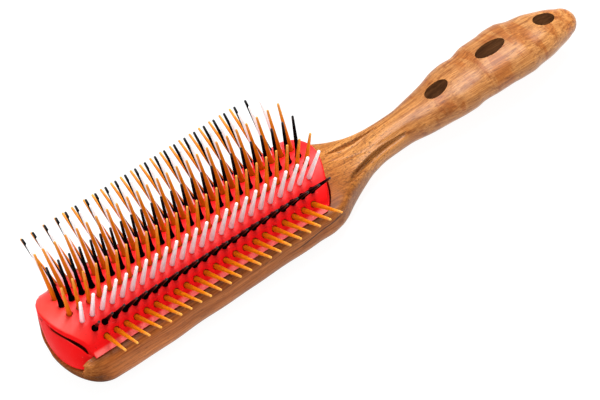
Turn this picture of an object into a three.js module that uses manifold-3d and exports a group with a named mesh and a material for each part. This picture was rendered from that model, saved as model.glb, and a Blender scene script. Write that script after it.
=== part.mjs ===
// Half-round nine-row hair styling brush with a wooden body.
//
// A wooden body (head and handle in one piece) has a trough along its head.
// A domed rubber pad slides into two grooves of that trough from the tip.
// Nine moulded nylon pin rows stand through holes in the pad; each row is a
// thin strip under the pad with its pins in one piece. Three dark wooden
// ovals are let into the top of the handle.
//
// Millimetres. +X runs from the tip to the handle's end, +Z is up (the side
// that the pins point to), and the flat land on the back of the head lies on
// Z = 0. The origin is below the middle of the brush's length.

import * as THREE from 'three';
import { mergeVertices } from 'three/addons/utils/BufferGeometryUtils.js';
import Module from 'manifold-3d';

// ---------------------------------------------------------------- dimensions
const TIP_X = -111.6;          // front end of the wooden head
const END_X = 111.6;           // rear end of the handle
const FIELD_X = -55.1;         // middle of the pin field
const CROWN_Z = 26.6;          // top of the rubber dome above the back

const PITCH = 4.1;             // distance between pins along a row
const ROW_PINS = [22, 23, 24, 25, 25, 25, 24, 23, 22];
const ROW_STEP = 12.03;        // angle between rows on the dome, degrees
const PIN_TILT = [0, 12.74, 25.48, 38.22, 62.6]; // lean of rows 5, 4/6, 3/7, 2/8, 1/9
const PIN_LEN = [19.46, 19.46, 19.46, 19.46, 19.86];
const PIN_R_FOOT = 0.98;       // pin radius in its strip
const PIN_R_TIP = 0.48;        // pin radius just below its rounded end
const PIN_SIDES = 5;
const LEAN_TIP = [-6.3, -4.0, -1.8];        // first pins of a row lean to the tip
const LEAN_END = [3.3, 2.3, 1.0, 0.4];      // last pins lean to the handle
const HOLE_R = 1.36;           // hole in the pad for a pin
const STRIP_TOP = -3.0;        // top of a row's strip, below the dome's surface
const STRIP_T = 1.0;           // strip thickness
const STRIP_W = 2.0;           // strip width
const STRIP_OVER = 1.7;        // strip length past its last pin

const ARC_R = 21.8;            // radius of the dome in cross-section
const PAD_T = 2.4;             // thickness of the rubber
const PAD_HALF = 18.8;         // half-width of the pad where it lies on the rails
const SKIRT_HALF = 16.9;       // half-width of the pad between the rails
const FLANGE_HALF = 18.5;      // half-width of the flange in the grooves
const PAD_FRONT = -56.3;       // pad's front at its middle, from the field's middle
const PAD_FRONT_SAG = 6.3;     // how far the front falls back at the sides
const PAD_REAR = 55.7;
const PAD_REAR_SAG = 7.6;
const END_WALL = 2.6;          // thickness of the pad's end walls
const APRON_Z = 6.6;           // lower edge of the front apron

const GAP = 0.3;               // running gap between pieces
const FLOOR_Z = 6.2;           // floor of the trough

// Wooden body: distance from the field's middle, half-width, top and bottom.
const BODY = [
  [-40, 22.1, 16.0, -0.7], [-20, 21.7, 16.0, -0.7], [0, 21.2, 16.0, -0.6],
  [20, 21.1, 16.0, -0.5], [40, 20.9, 16.0, -0.4], [46, 21.4, 16.0, -0.3],
  [50, 20.8, 16.0, 0.2], [54, 19.0, 15.9, 0.6], [58, 16.3, 15.35, 1.15],
  [62, 13.7, 14.6, 1.6], [67, 10.9, 14.2, 2.3], [73, 8.3, 14.5, 3.3],
  [80, 7.0, 15.2, 4.2], [90, 6.8, 15.8, 4.65], [98, 8.3, 16.3, 4.7],
  [106, 9.7, 17.6, 5.2], [112, 11.2, 18.75, 6.0], [116, 11.5, 19.2, 6.3],
  [120, 11.0, 19.5, 6.6], [126, 12.0, 20.75, 7.25], [132, 12.05, 20.95, 7.35],
  [136, 12.6, 21.05, 7.55], [140, 12.6, 20.9, 7.5], [145, 11.2, 20.0, 7.05],
  [150, 10.4, 19.65, 7.0], [155, 8.6, 18.8, 6.75], [159, 7.25, 17.7, 6.9],
  [162, 5.9, 16.5, 7.1],
];
const TIP_ROUND = 12.1;        // length over which the tip rounds off in plan
const TIP_POWER = 2.1;         // fullness of that rounding
const BUTT_ROUND = 6.0;        // length over which the handle's end rounds off

// Inlays: distance from the field's middle, half-length, half-width.
const INLAYS = [
  ['inlay_neck', 107.2, 4.7, 3.0],
  ['inlay_grip', 130.8, 6.1, 3.0],
  ['inlay_butt', 154.3, 4.1, 3.1],
];
const INLAY_T = 1.8;

// ------------------------------------------------------------------ helpers
const wasm = await Module();
wasm.setup();
const rad = THREE.MathUtils.degToRad;

function toSolid(geometry) {
  let g = geometry.clone();
  for (const key of Object.keys(g.attributes)) if (key !== 'position') g.deleteAttribute(key);
  g = mergeVertices(g, 1e-4);
  const p = g.attributes.position.array;
  const idx = g.index.array;
  const tri = [];
  let vol = 0;
  for (let i = 0; i < idx.length; i += 3) {
    const a = idx[i], b = idx[i + 1], c = idx[i + 2];
    if (a === b || b === c || a === c) continue;
    tri.push(a, b, c);
    const A = [p[3 * a], p[3 * a + 1], p[3 * a + 2]];
    const B = [p[3 * b], p[3 * b + 1], p[3 * b + 2]];
    const C = [p[3 * c], p[3 * c + 1], p[3 * c + 2]];
    vol += A[0] * (B[1] * C[2] - B[2] * C[1]) - A[1] * (B[0] * C[2] - B[2] * C[0])
      + A[2] * (B[0] * C[1] - B[1] * C[0]);
  }
  if (vol < 0) for (let i = 0; i < tri.length; i += 3) [tri[i], tri[i + 1]] = [tri[i + 1], tri[i]];
  return new wasm.Manifold(new wasm.Mesh({
    numProp: 3,
    vertProperties: new Float32Array(p),
    triVerts: new Uint32Array(tri),
  }));
}

function toGeometry(solid) {
  const m = solid.getMesh();
  const n = m.vertProperties.length / m.numProp;
  const pos = new Float32Array(n * 3);
  for (let i = 0; i < n; i++) for (let j = 0; j < 3; j++) pos[3 * i + j] = m.vertProperties[i * m.numProp + j];
  const g = new THREE.BufferGeometry();
  g.setAttribute('position', new THREE.BufferAttribute(pos, 3));
  g.setIndex(new THREE.BufferAttribute(new Uint32Array(m.triVerts), 1));
  g.computeVertexNormals();
  return g;
}

function shapeOf(points) {
  return new THREE.Shape(points.map(([x, y]) => new THREE.Vector2(x, y)));
}

// A (y, z) outline pushed along X from x0 to x1.
function alongX(points, x0, x1) {
  const g = new THREE.ExtrudeGeometry(shapeOf(points), { depth: x1 - x0, bevelEnabled: false });
  const basis = new THREE.Matrix4().makeBasis(
    new THREE.Vector3(0, 1, 0), new THREE.Vector3(0, 0, 1), new THREE.Vector3(1, 0, 0));
  g.applyMatrix4(basis);
  g.translate(x0, 0, 0);
  return toSolid(g);
}

// An (x, y) outline pushed along Z from z0 to z1.
function alongZ(points, z0, z1) {
  const g = new THREE.ExtrudeGeometry(shapeOf(points), { depth: z1 - z0, bevelEnabled: false });
  g.translate(0, 0, z0);
  return toSolid(g);
}

function mirrorY(right) {
  const left = right.map(([y, z]) => [-y, z]).reverse();
  return right.concat(left);
}

// Rings of equal point count, closed by a fan at each end.
function loft(rings) {
  const n = rings[0].length;
  const pos = [];
  const idx = [];
  for (const ring of rings) for (const v of ring) pos.push(...v);
  for (let i = 0; i + 1 < rings.length; i++) {
    for (let j = 0; j < n; j++) {
      const a = i * n + j, b = i * n + (j + 1) % n, c = a + n, d = b + n;
      idx.push(a, b, d, a, d, c);
    }
  }
  for (const [r, flip] of [[0, true], [rings.length - 1, false]]) {
    const mid = [0, 1, 2].map((k) => rings[r].reduce((s, v) => s + v[k], 0) / n);
    const m = pos.length / 3;
    pos.push(...mid);
    for (let j = 0; j < n; j++) {
      const a = r * n + j, b = r * n + (j + 1) % n;
      if (flip) idx.push(a, m, b); else idx.push(a, b, m);
    }
  }
  const g = new THREE.BufferGeometry();
  g.setAttribute('position', new THREE.BufferAttribute(new Float32Array(pos), 3));
  g.setIndex(idx);
  return toSolid(g);
}

// Smooth value from the body table (monotone cubic between its rows).
function bodyAt(x, col) {
  const n = BODY.length;
  const X = (i) => BODY[i][0];
  const Y = (i) => BODY[i][col];
  if (x <= X(0)) return Y(0);
  if (x >= X(n - 1)) return Y(n - 1);
  const h = [], d = [];
  for (let i = 0; i + 1 < n; i++) { h.push(X(i + 1) - X(i)); d.push((Y(i + 1) - Y(i)) / h[i]); }
  const slope = (i) => {
    if (i === 0 || i === n - 1) return 0;
    if (d[i - 1] * d[i] <= 0) return 0;
    const w1 = 2 * h[i] + h[i - 1], w2 = h[i] + 2 * h[i - 1];
    return (w1 + w2) / (w1 / d[i - 1] + w2 / d[i]);
  };
  let k = 0;
  while (x > X(k + 1)) k++;
  const t = (x - X(k)) / h[k];
  const t2 = t * t, t3 = t2 * t;
  return Y(k) * (2 * t3 - 3 * t2 + 1) + h[k] * slope(k) * (t3 - 2 * t2 + t)
    + Y(k + 1) * (-2 * t3 + 3 * t2) + h[k] * slope(k + 1) * (t3 - t2);
}

// ------------------------------------------------------------- wooden body
const tipX = TIP_X - FIELD_X;
const endX = END_X - FIELD_X;

function bodyRing(x, sides) {
  let a = bodyAt(x, 1), top = bodyAt(x, 2), bottom = bodyAt(x, 3);
  if (x < tipX + TIP_ROUND) {
    const t = (tipX + TIP_ROUND - x) / TIP_ROUND;
    a *= Math.pow(Math.max(0, 1 - Math.pow(t, TIP_POWER)), 1 / TIP_POWER);
  }
  if (x > endX - BUTT_ROUND) {
    const t = (x - endX + BUTT_ROUND) / BUTT_ROUND;
    const k = Math.sqrt(Math.max(0, 1 - t * t));
    const mid = (top + bottom) / 2;
    a *= k; top = mid + (top - mid) * k; bottom = mid + (bottom - mid) * k;
  }
  let s = Math.min(1, Math.max(0, (x - 46) / 40));
  s = s * s * (3 - 2 * s);
  let g = Math.min(1, Math.max(0, (x + 30) / 95));
  g = g * g * (3 - 2 * g);
  const nTop = 6 * (1 - s) + 2.2 * s;
  const nBottom = 3 * (1 - g) + 2.2 * g;
  const mid = (0.62 * top + 0.38 * bottom) * (1 - s) + 0.5 * (top + bottom) * s;
  const ring = [];
  for (let j = 0; j < sides; j++) {
    const t = (2 * Math.PI * j) / sides;
    const c = Math.cos(t), q = Math.sin(t);
    const n = q >= 0 ? nTop : nBottom;
    const y = a * Math.sign(c) * Math.pow(Math.abs(c), 2 / n);
    const h = Math.pow(Math.abs(q), 2 / n);
    const z = q >= 0 ? mid + (top - mid) * h : mid - (mid - bottom) * h;
    ring.push([x + FIELD_X, y, z]);
  }
  return ring;
}

const stations = [];
for (const f of [0.0006, 0.006, 0.03, 0.09, 0.19, 0.33, 0.52, 0.75, 1]) stations.push(tipX + f * TIP_ROUND);
for (const x of [-20, 0, 20, 36, 42, 46, 49, 51.5, 54, 56.5, 59, 62, 65, 69, 74, 80, 86, 92, 97, 101,
  105, 109, 112, 116, 120, 124, 128, 132, 136, 140, 144, 148, 152, 156, 159]) stations.push(x);
for (const deg of [10, 30, 50, 68, 82]) stations.push(endX - BUTT_ROUND + BUTT_ROUND * Math.sin(rad(deg)));

let blank = loft(stations.map((x) => bodyRing(x, 24)));
// The first and last faces lie exactly at the ends of the brush.
blank = blank.intersect(toSolid(new THREE.BoxGeometry(END_X - TIP_X, 80, 60).translate(0, 0, 30)));

// Trough with a groove along each rail, open at the tip and round at its rear.
const lip = SKIRT_HALF + GAP;
const grooveHalf = FLANGE_HALF + GAP;
const w = (z) => CROWN_Z + z;
const trough = alongX(mirrorY([
  [lip, FLOOR_Z], [lip, w(-14.5)], [grooveHalf, w(-14.5)], [grooveHalf, w(-12.3)],
  [lip, w(-12.3)], [lip, 40],
]), TIP_X - 5, FIELD_X + 60);

function planOutline(front, frontSag, frontHalf, rear, rearSag, rearHalf, half, steps) {
  const pts = [];
  for (let i = 0; i <= steps; i++) {
    const y = -half + (2 * half * i) / steps;
    pts.push([FIELD_X + rear - rearSag * Math.pow(Math.abs(y) / rearHalf, 2), y]);
  }
  for (let i = steps; i >= 0; i--) {
    const y = -half + (2 * half * i) / steps;
    pts.push([FIELD_X + front + frontSag * Math.pow(Math.abs(y) / frontHalf, 2.2), y]);
  }
  return pts;
}
const troughPlan = alongZ(
  planOutline(-80, 0, 1, PAD_REAR + 0.8, PAD_REAR_SAG, 18.7, 22, 16), 0, 50);
let body = blank.subtract(trough.intersect(troughPlan));

// Leaf-shaped flutes on both sides of the neck.
for (const side of [-1, 1]) {
  const g = new THREE.SphereGeometry(1, 10, 8);
  g.scale(13.2, 1.7, 1.5);
  g.rotateZ(side * rad(-9));
  g.translate(FIELD_X + 74, side * 7.5, 14.35);
  body = body.subtract(toSolid(g));
}

// Oval pockets for the inlays, and the inlays cut from the same blank.
function oval(cx, a, b, z0, z1) {
  const pts = [];
  for (let i = 0; i < 20; i++) {
    const t = (2 * Math.PI * i) / 20;
    pts.push([FIELD_X + cx + a * Math.cos(t), b * Math.sin(t)]);
  }
  return alongZ(pts, z0, z1);
}
const inlaySolids = [];
for (const [name, cx, a, b] of INLAYS) {
  const top = bodyAt(cx, 2);
  const deep = Math.min(bodyAt(cx - a, 2), bodyAt(cx + a, 2), top) - INLAY_T - 0.5;
  body = body.subtract(oval(cx, a, b, deep, top + 5));
  inlaySolids.push([name, blank.intersect(oval(cx, a - GAP, b - GAP, deep + GAP, top + 5))]);
}

// -------------------------------------------------------------- rubber pad
const polar = (r, deg) => [r * Math.sin(rad(deg)), CROWN_Z - ARC_R + r * Math.cos(rad(deg))];
const half = ROW_STEP / 2;
const rOut = ARC_R / Math.cos(rad(half));
const rIn = (ARC_R - PAD_T) / Math.cos(rad(half));
const outerSection = mirrorY([
  polar(rOut, half), polar(rOut, 3 * half), polar(rOut, 5 * half), polar(rOut, 7 * half),
  [17.25, w(-9.1)], [PAD_HALF, w(-10.3)], [SKIRT_HALF, w(-10.3)], [SKIRT_HALF, w(-12.6)],
  [FLANGE_HALF, w(-12.6)], [FLANGE_HALF, w(-14.2)],
]);
const innerSection = mirrorY([
  polar(rIn, half), polar(rIn, 3 * half), polar(rIn, 5 * half), [12.95, w(-7.22)],
  [14.9, w(-9.95)], [15, w(-10.6)], [14.8, w(-12.2)], [14.8, w(-20)],
]);
const outerPlan = planOutline(PAD_FRONT, PAD_FRONT_SAG, PAD_HALF, PAD_REAR, PAD_REAR_SAG, 18.5, 22, 20);
const innerPlan = planOutline(PAD_FRONT + END_WALL, PAD_FRONT_SAG, PAD_HALF, PAD_REAR - END_WALL,
  PAD_REAR_SAG, 18.5, 18, 12);
const long0 = FIELD_X - 70, long1 = FIELD_X + 70;
const dome = alongX(outerSection, long0, long1).intersect(alongZ(outerPlan, 0, 50));
const hollow = alongX(innerSection, long0, long1).intersect(alongZ(innerPlan, 0, 50));
// Front apron that closes the open end of the trough down to its floor.
const apronPlan = [];
for (let i = 0; i <= 16; i++) {
  const y = -16.6 + (33.2 * i) / 16;
  apronPlan.push([FIELD_X + PAD_FRONT + END_WALL + PAD_FRONT_SAG * Math.pow(Math.abs(y) / PAD_HALF, 2.2), y]);
}
for (let i = 16; i >= 0; i--) {
  const y = -16.6 + (33.2 * i) / 16;
  apronPlan.push([FIELD_X + PAD_FRONT + PAD_FRONT_SAG * Math.pow(Math.abs(y) / PAD_HALF, 2.2), y]);
}
let pad = dome.subtract(hollow).add(alongZ(apronPlan, APRON_Z, w(-11)));

// ---------------------------------------------------------------- pin rows
const Z = new THREE.Vector3(0, 0, 1);

function rowFrame(r) {
  const k = r - 4;
  const side = Math.sign(k);
  const m = Math.abs(k);
  const base = m < 4
    ? [ARC_R * Math.sin(rad(k * ROW_STEP)), CROWN_Z - ARC_R + ARC_R * Math.cos(rad(k * ROW_STEP))]
    : [side * 15.96, w(-7.3)];
  return { base, tilt: side * PIN_TILT[m], len: PIN_LEN[m] };
}

function leanOf(i, n) {
  if (i < LEAN_TIP.length) return LEAN_TIP[i];
  if (n - 1 - i < LEAN_END.length) return LEAN_END[n - 1 - i];
  return 0;
}

function turned(points, sides) {
  const g = new THREE.LatheGeometry(points.map(([x, y]) => new THREE.Vector2(x, y)), sides);
  g.rotateX(Math.PI / 2);      // its axis now runs along +Z
  return g;
}

function placeAlong(g, origin, tilt, lean) {
  const d = new THREE.Vector3(Math.sin(rad(lean)),
    Math.cos(rad(lean)) * Math.sin(rad(tilt)), Math.cos(rad(lean)) * Math.cos(rad(tilt)));
  g.applyQuaternion(new THREE.Quaternion().setFromUnitVectors(Z, d));
  g.translate(...origin);
  return toSolid(g);
}

const rowSolids = [];
for (let r = 0; r < 9; r++) {
  const { base, tilt, len } = rowFrame(r);
  const n = ROW_PINS[r];
  const span = (n - 1) * PITCH;
  const strip = new THREE.BoxGeometry(span + 2 * STRIP_OVER, STRIP_W, STRIP_T);
  strip.translate(0, 0, STRIP_TOP - STRIP_T / 2);
  strip.rotateX(rad(-tilt));
  strip.translate(FIELD_X, base[0], base[1]);
  let row = toSolid(strip);
  for (let i = 0; i < n; i++) {
    const origin = [FIELD_X + i * PITCH - span / 2, base[0], base[1]];
    const lean = leanOf(i, n);
    const foot = STRIP_TOP - STRIP_T / 2;
    row = row.add(placeAlong(turned([[0, foot], [PIN_R_FOOT, foot], [PIN_R_TIP, len - 0.45], [0, len]],
      PIN_SIDES), origin, tilt, lean));
    pad = pad.subtract(placeAlong(turned([[0, -4.4], [HOLE_R, -4.4], [HOLE_R, 1.6], [0, 1.6]],
      PIN_SIDES), origin, tilt, lean));
  }
  rowSolids.push(row);
}

// ------------------------------------------------------------------- scene
const brush = new THREE.Group();
function addPiece(name, solid, color, roughness) {
  const mesh = new THREE.Mesh(toGeometry(solid),
    new THREE.MeshStandardMaterial({ color, roughness, metalness: 0 }));
  mesh.name = name;
  brush.add(mesh);
}

const AMBER = 0xe08a1e, BLACK = 0x17141a, WHITE = 0xf2e6ea;
const ROW_COLOURS = [AMBER, BLACK, WHITE, AMBER, BLACK, AMBER, WHITE, BLACK, AMBER];

addPiece('wooden_body', body, 0xb07a45, 0.45);
addPiece('rubber_pad', pad, 0xee2b2f, 0.6);
rowSolids.forEach((solid, r) => addPiece(`pin_row_${r + 1}`, solid, ROW_COLOURS[r], 0.35));
for (const [name, solid] of inlaySolids) addPiece(name, solid, 0x4a2c17, 0.5);

export default brush;
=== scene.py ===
import math

import bmesh
import bpy
import numpy as np
from mathutils import Matrix, Vector


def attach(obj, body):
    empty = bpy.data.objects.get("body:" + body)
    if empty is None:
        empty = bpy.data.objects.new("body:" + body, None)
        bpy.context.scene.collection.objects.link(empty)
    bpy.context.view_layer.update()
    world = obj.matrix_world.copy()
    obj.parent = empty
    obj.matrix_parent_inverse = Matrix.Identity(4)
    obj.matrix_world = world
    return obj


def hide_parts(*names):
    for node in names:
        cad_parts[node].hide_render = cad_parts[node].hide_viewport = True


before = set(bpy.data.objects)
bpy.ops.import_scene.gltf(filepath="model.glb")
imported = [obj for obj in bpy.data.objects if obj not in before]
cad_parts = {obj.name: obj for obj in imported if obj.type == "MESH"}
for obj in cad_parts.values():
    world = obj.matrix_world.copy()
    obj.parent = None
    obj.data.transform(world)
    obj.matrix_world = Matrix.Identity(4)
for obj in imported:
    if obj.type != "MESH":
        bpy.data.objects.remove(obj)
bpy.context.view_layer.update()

# ---------------------------------------------------------------- frame
# Shapes are written in millimetres, x measured from the middle of the pin
# field and z so that the pad's crown is at 22, then moved into the CAD frame.
FIELD_X = -55.1
CROWN_Z = 22.0
LIFT = 4.6
MM = 0.001


def put(points):
    p = np.asarray(points, dtype=float).copy()
    p[:, 0] += FIELD_X
    p[:, 2] += LIFT
    return p * MM


def mesh_object(name, points, faces):
    me = bpy.data.meshes.new(name)
    me.from_pydata([tuple(p) for p in put(points)], [], [tuple(int(i) for i in f) for f in faces])
    me.update()
    ob = bpy.data.objects.new(name, me)
    bpy.context.scene.collection.objects.link(ob)
    return ob


def clean(ob, merge=2e-6):
    bm = bmesh.new()
    bm.from_mesh(ob.data)
    bmesh.ops.remove_doubles(bm, verts=bm.verts, dist=merge)
    bmesh.ops.dissolve_degenerate(bm, edges=bm.edges, dist=merge)
    bmesh.ops.recalc_face_normals(bm, faces=bm.faces)
    bm.to_mesh(ob.data)
    bm.free()
    ob.data.update()


def combine(ob, other, operation):
    m = ob.modifiers.new("cut", "BOOLEAN")
    m.operation = operation
    m.solver = "MANIFOLD"
    m.object = other
    bpy.context.view_layer.update()
    dg = bpy.context.evaluated_depsgraph_get()
    me = bpy.data.meshes.new_from_object(ob.evaluated_get(dg))
    ob.modifiers.clear()
    old = ob.data
    ob.data = me
    bpy.data.meshes.remove(old)
    gone = other.data
    bpy.data.objects.remove(other)
    bpy.data.meshes.remove(gone)
    ob.data.name = ob.name


def copy_of(ob, name):
    c = ob.copy()
    c.data = ob.data.copy()
    c.name = name
    bpy.context.scene.collection.objects.link(c)
    return c


def shade(ob, degrees):
    me = ob.data
    me.polygons.foreach_set("use_smooth", [True] * len(me.polygons))
    me.set_sharp_from_angle(angle=math.radians(degrees))
    me.update()


def grid_faces(rows, cols, base=0, wrap=False):
    out = []
    last = cols if wrap else cols - 1
    for i in range(rows - 1):
        for j in range(last):
            k = (j + 1) % cols
            a = base + i * cols
            b = a + cols
            out.append((a + j, a + k, b + k, b + j))
    return out


def prism(name, loops):
    """A closed solid from a stack of plan outlines, each a list of (x, y) with its z."""
    n = len(loops[0][1])
    pts, faces = [], []
    for z, outline in loops:
        for x, y in outline:
            pts.append((x, y, z))
    faces += grid_faces(len(loops), n, 0, True)
    faces.append(tuple(reversed(range(n))))
    faces.append(tuple(range((len(loops) - 1) * n, len(loops) * n)))
    ob = mesh_object(name, pts, faces)
    clean(ob)
    return ob


def smooth01(t):
    t = np.clip(t, 0.0, 1.0)
    return t * t * (3 - 2 * t)


def monotone(xs, ys):
    """Monotone cubic through the points, held flat outside them."""
    xs, ys = np.asarray(xs, float), np.asarray(ys, float)
    h = np.diff(xs)
    d = np.diff(ys) / h
    m = np.zeros(len(xs))
    m[0], m[-1] = d[0], d[-1]
    for i in range(1, len(xs) - 1):
        if d[i - 1] * d[i] > 0:
            w1, w2 = 2 * h[i] + h[i - 1], h[i] + 2 * h[i - 1]
            m[i] = (w1 + w2) / (w1 / d[i - 1] + w2 / d[i])

    def f(x):
        x = np.clip(np.asarray(x, float), xs[0], xs[-1])
        i = np.clip(np.searchsorted(xs, x, side="right") - 1, 0, len(xs) - 2)
        t = (x - xs[i]) / h[i]
        a = (1 + 2 * t) * (1 - t) ** 2
        b = t * (1 - t) ** 2
        c = t * t * (3 - 2 * t)
        e = t * t * (t - 1)
        return a * ys[i] + b * h[i] * m[i] + c * ys[i + 1] + e * h[i] * m[i + 1]

    return f


# ---------------------------------------------------------------- wooden body
BODY = np.array([
    [-40, 22.1, 11.4, -5.3], [-20, 21.7, 11.4, -5.3], [0, 21.2, 11.4, -5.2],
    [20, 21.1, 11.4, -5.1], [40, 20.9, 11.4, -5.0], [46, 21.4, 11.4, -4.9],
    [50, 20.8, 11.4, -4.4], [54, 19.0, 11.3, -4.0], [58, 16.3, 10.75, -3.45],
    [62, 13.7, 10.0, -3.0], [67, 10.9, 9.6, -2.3], [73, 8.3, 9.9, -1.3],
    [80, 7.0, 10.6, -0.4], [90, 6.8, 11.2, 0.05], [98, 8.3, 11.7, 0.1],
    [106, 9.7, 13.0, 0.6], [112, 11.2, 14.15, 1.4], [116, 11.5, 14.6, 1.7],
    [120, 11.0, 14.9, 2.0], [126, 12.0, 16.15, 2.65], [132, 12.05, 16.35, 2.75],
    [136, 12.6, 16.45, 2.95], [140, 12.6, 16.3, 2.9], [145, 11.2, 15.4, 2.45],
    [150, 10.4, 15.05, 2.4], [155, 8.6, 14.2, 2.15], [159, 7.25, 13.1, 2.3],
    [162, 5.9, 11.9, 2.5],
])
half_at = monotone(BODY[:, 0], BODY[:, 1])
top_at = monotone(BODY[:, 0], BODY[:, 2])
bottom_at = monotone(BODY[:, 0], BODY[:, 3])

TIP = -56.9
TIP_ROUND = 12.06
TIP_POWER = 2.09
END = 166.7
BUTT_ROUND = 6.0
NT, NB = 64, 26

# the two leaf-shaped flutes on the neck: each has one crisp edge and one soft edge
near_crisp = monotone([60.0, 60.8, 62.7, 66.7, 74.3, 81.5, 88.3, 92.0], [12.0, 11.3, 9.3, 7.4, 5.6, 5.1, 5.3, 5.5])
near_soft = monotone([60.0, 62.0, 68.4, 74.3, 81.6, 88.8, 92.0], [12.3, 11.9, 9.6, 7.9, 6.7, 6.4, 6.3])
far_crisp = monotone([61.0, 64.0, 67.6, 72.7, 78.0, 83.5], [4.75, 4.95, 4.9, 3.95, 3.0, 2.3])
far_soft = monotone([61.0, 63.7, 68.2, 71.6, 75.8, 83.5], [4.5, 3.6, 2.4, 1.9, 1.9, 2.1])
crease_y = monotone([58.5, 66.0, 74.5, 84.0, 94.0], [1.7, -1.6, -4.1, -4.65, -4.8])


def quarter(a, h, n, count):
    """Points from the side (a, 0) to the top (0, h) of a superellipse, even along its length."""
    a = max(a, 1e-5)
    th = np.linspace(0, math.pi / 2, 241)
    c, s = np.cos(th), np.sin(th)
    r = ((np.abs(c) / a) ** n + (np.abs(s) / h) ** n) ** (-1.0 / n)
    y, z = r * c, r * s
    y[-1], z[-1] = 0.0, h
    d = np.concatenate([[0], np.cumsum(np.hypot(np.diff(y), np.diff(z)))])
    q = np.linspace(0, d[-1], count + 1)
    return np.interp(q, d, y), np.interp(q, d, z), q


def leaf(x, y, crisp, soft, start, stop, deep, hold):
    t = (x - start) / (stop - start)
    if t <= 0 or t >= 1:
        return np.zeros_like(y)
    d = deep * math.sin(math.pi * t ** 0.85) ** 0.65
    c, e = float(crisp(x)), float(soft(x))
    v = (y - c) / (e - c)
    return d * (smooth01(v / 0.30) * (1 - smooth01((v - hold) / (1 - hold))) - 0.07 * np.exp(-((v - 1.12) / 0.16) ** 2))


def carving(x, y):
    """How deep the wood is cut away at x for each y across its top."""
    out = leaf(x, -y, near_crisp, near_soft, 60.4, 89.5, 2.1, 0.55)
    out = out + leaf(x, y, far_crisp, far_soft, 61.2, 83.2, 1.7, 0.35)
    fade = float(smooth01((x - 58.5) / 4) * smooth01((94 - x) / 8))
    out = out + 0.13 * fade * np.exp(-((y - float(crease_y(x))) / 0.55) ** 2)
    return out


def ring(x, f=1.0, butt=None):
    a, top, bottom = float(half_at(x)) * f, float(top_at(x)), float(bottom_at(x))
    if x < 60:
        a += f * (0.13 * math.sin(x / 4.9 + 0.6) + 0.10 * math.sin(x / 2.9 + 2.0)) * float(smooth01((60 - x) / 12))
    s = float(smooth01((x - 46) / 40))
    g = float(smooth01((x + 30) / 95))
    nt = 6.0 * (1 - s) + 2.2 * s
    nb = 3.0 * (1 - g) + 2.2 * g
    mid = (0.62 * top + 0.38 * bottom) * (1 - s) + 0.5 * (top + bottom) * s
    if butt is not None:
        a, top, bottom = a * butt, mid + (top - mid) * butt, mid + (bottom - mid) * butt
    ty, tz, tq = quarter(a, max(top - mid, 1e-5), nt, NT)
    by, bz, bq = quarter(a, max(mid - bottom, 1e-5), nb, NB)
    pts = []
    pts += [(ty[i], mid + tz[i]) for i in range(NT)]
    pts += [(-ty[i], mid + tz[i]) for i in range(NT, 0, -1)]
    pts += [(-by[i], mid - bz[i]) for i in range(NB)]
    pts += [(by[i], mid - bz[i]) for i in range(NB, 0, -1)]
    p = np.array(pts)
    if 58 < x < 95:
        up = p[:2 * NT]
        dy, dz = np.gradient(up[:, 0]), np.gradient(up[:, 1])
        ln = np.hypot(dy, dz) + 1e-9
        cut = carving(x, up[:, 0])
        p[:2 * NT] = up - np.stack([dz / ln, -dy / ln], 1) * cut[:, None]
    out = np.zeros((len(p), 3))
    out[:, 0], out[:, 1], out[:, 2] = x, p[:, 0], p[:, 1]
    # the back runs out to a soft flat land
    z = out[:, 2] + LIFT
    out[:, 2] = 0.5 * (z + np.sqrt(z * z + 0.36)) - 0.14 - LIFT
    if x < -40:
        # the front edge is rounded under, and the rails' ends are rounded down
        near = float(smooth01((-42 - x) / 12))
        under = np.clip((1.6 - out[:, 2]) / 6.2, 0, 1) ** 2.2
        out[:, 0] += 2.6 * under * near
        # the viewer's rail is left fuller at its end, and the far side is worn back a little
        full = smooth01((-14.8 - out[:, 1]) / 2.2) * smooth01((out[:, 2] - 2.5) / 3)
        out[:, 0] -= 2.7 * full * float(smooth01((-46 - x) / 5.5))
        out[:, 0] += (0.5 * smooth01((out[:, 1] - 1) / 5) + 0.6 * smooth01((out[:, 1] - 9) / 5)) * near
        top = 9.9 + 1.6 * smooth01((out[:, 0] + 55.0) / 3.2)
        cap = (out[:, 1] < -14) & (out[:, 2] > top - 0.5)
        out[cap, 2] = top[cap] - 0.5 + 0.5 * (1 - np.exp(-(out[cap, 2] - top[cap] + 0.5) / 0.5))
        t = np.clip((-50.4 - x) / 5.2, 0, 0.999)
        lid = 5.0 + 6.6 * math.sqrt(1 - t * t)
        over = out[:, 2] > lid - 0.6
        zz = out[over, 2]
        out[over, 2] = lid - 0.6 + 0.6 * (1 - np.exp(-(zz - lid + 0.6) / 0.6))
    return out


def wood_loft():
    rings = []
    for f in [0, .10, .20, .30, .40, .49, .57, .64, .70, .75, .79, .83, .865, .895, .92, .942, .96, .974, .985, .9925, .997]:
        x = TIP + TIP_ROUND * (1 - (1 - f ** TIP_POWER) ** (1 / TIP_POWER))
        rings.append(ring(x, f))
    start = TIP + TIP_ROUND
    for x in np.arange(start, 46.0, 1.3):
        rings.append(ring(x))
    for x in np.arange(46.4, 92.0, 0.45):
        rings.append(ring(x))
    for x in np.arange(92.4, END - BUTT_ROUND, 0.75):
        rings.append(ring(x))
    for t in np.sin(np.linspace(0.02, math.pi / 2, 15)):
        rings.append(ring(END - BUTT_ROUND + BUTT_ROUND * t, 1.0, math.sqrt(max(0.0, 1 - t * t))))
    n = len(rings[0])
    pts = np.concatenate(rings)
    faces = grid_faces(len(rings), n, 0, True)
    ob = mesh_object("carved_body", pts, faces)
    clean(ob)
    return ob


def pad_rear(y):
    y = np.asarray(y, dtype=float)
    return 55.6 - 0.0222 * y ** 2 - 0.07 * np.maximum(-y, 0)


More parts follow.
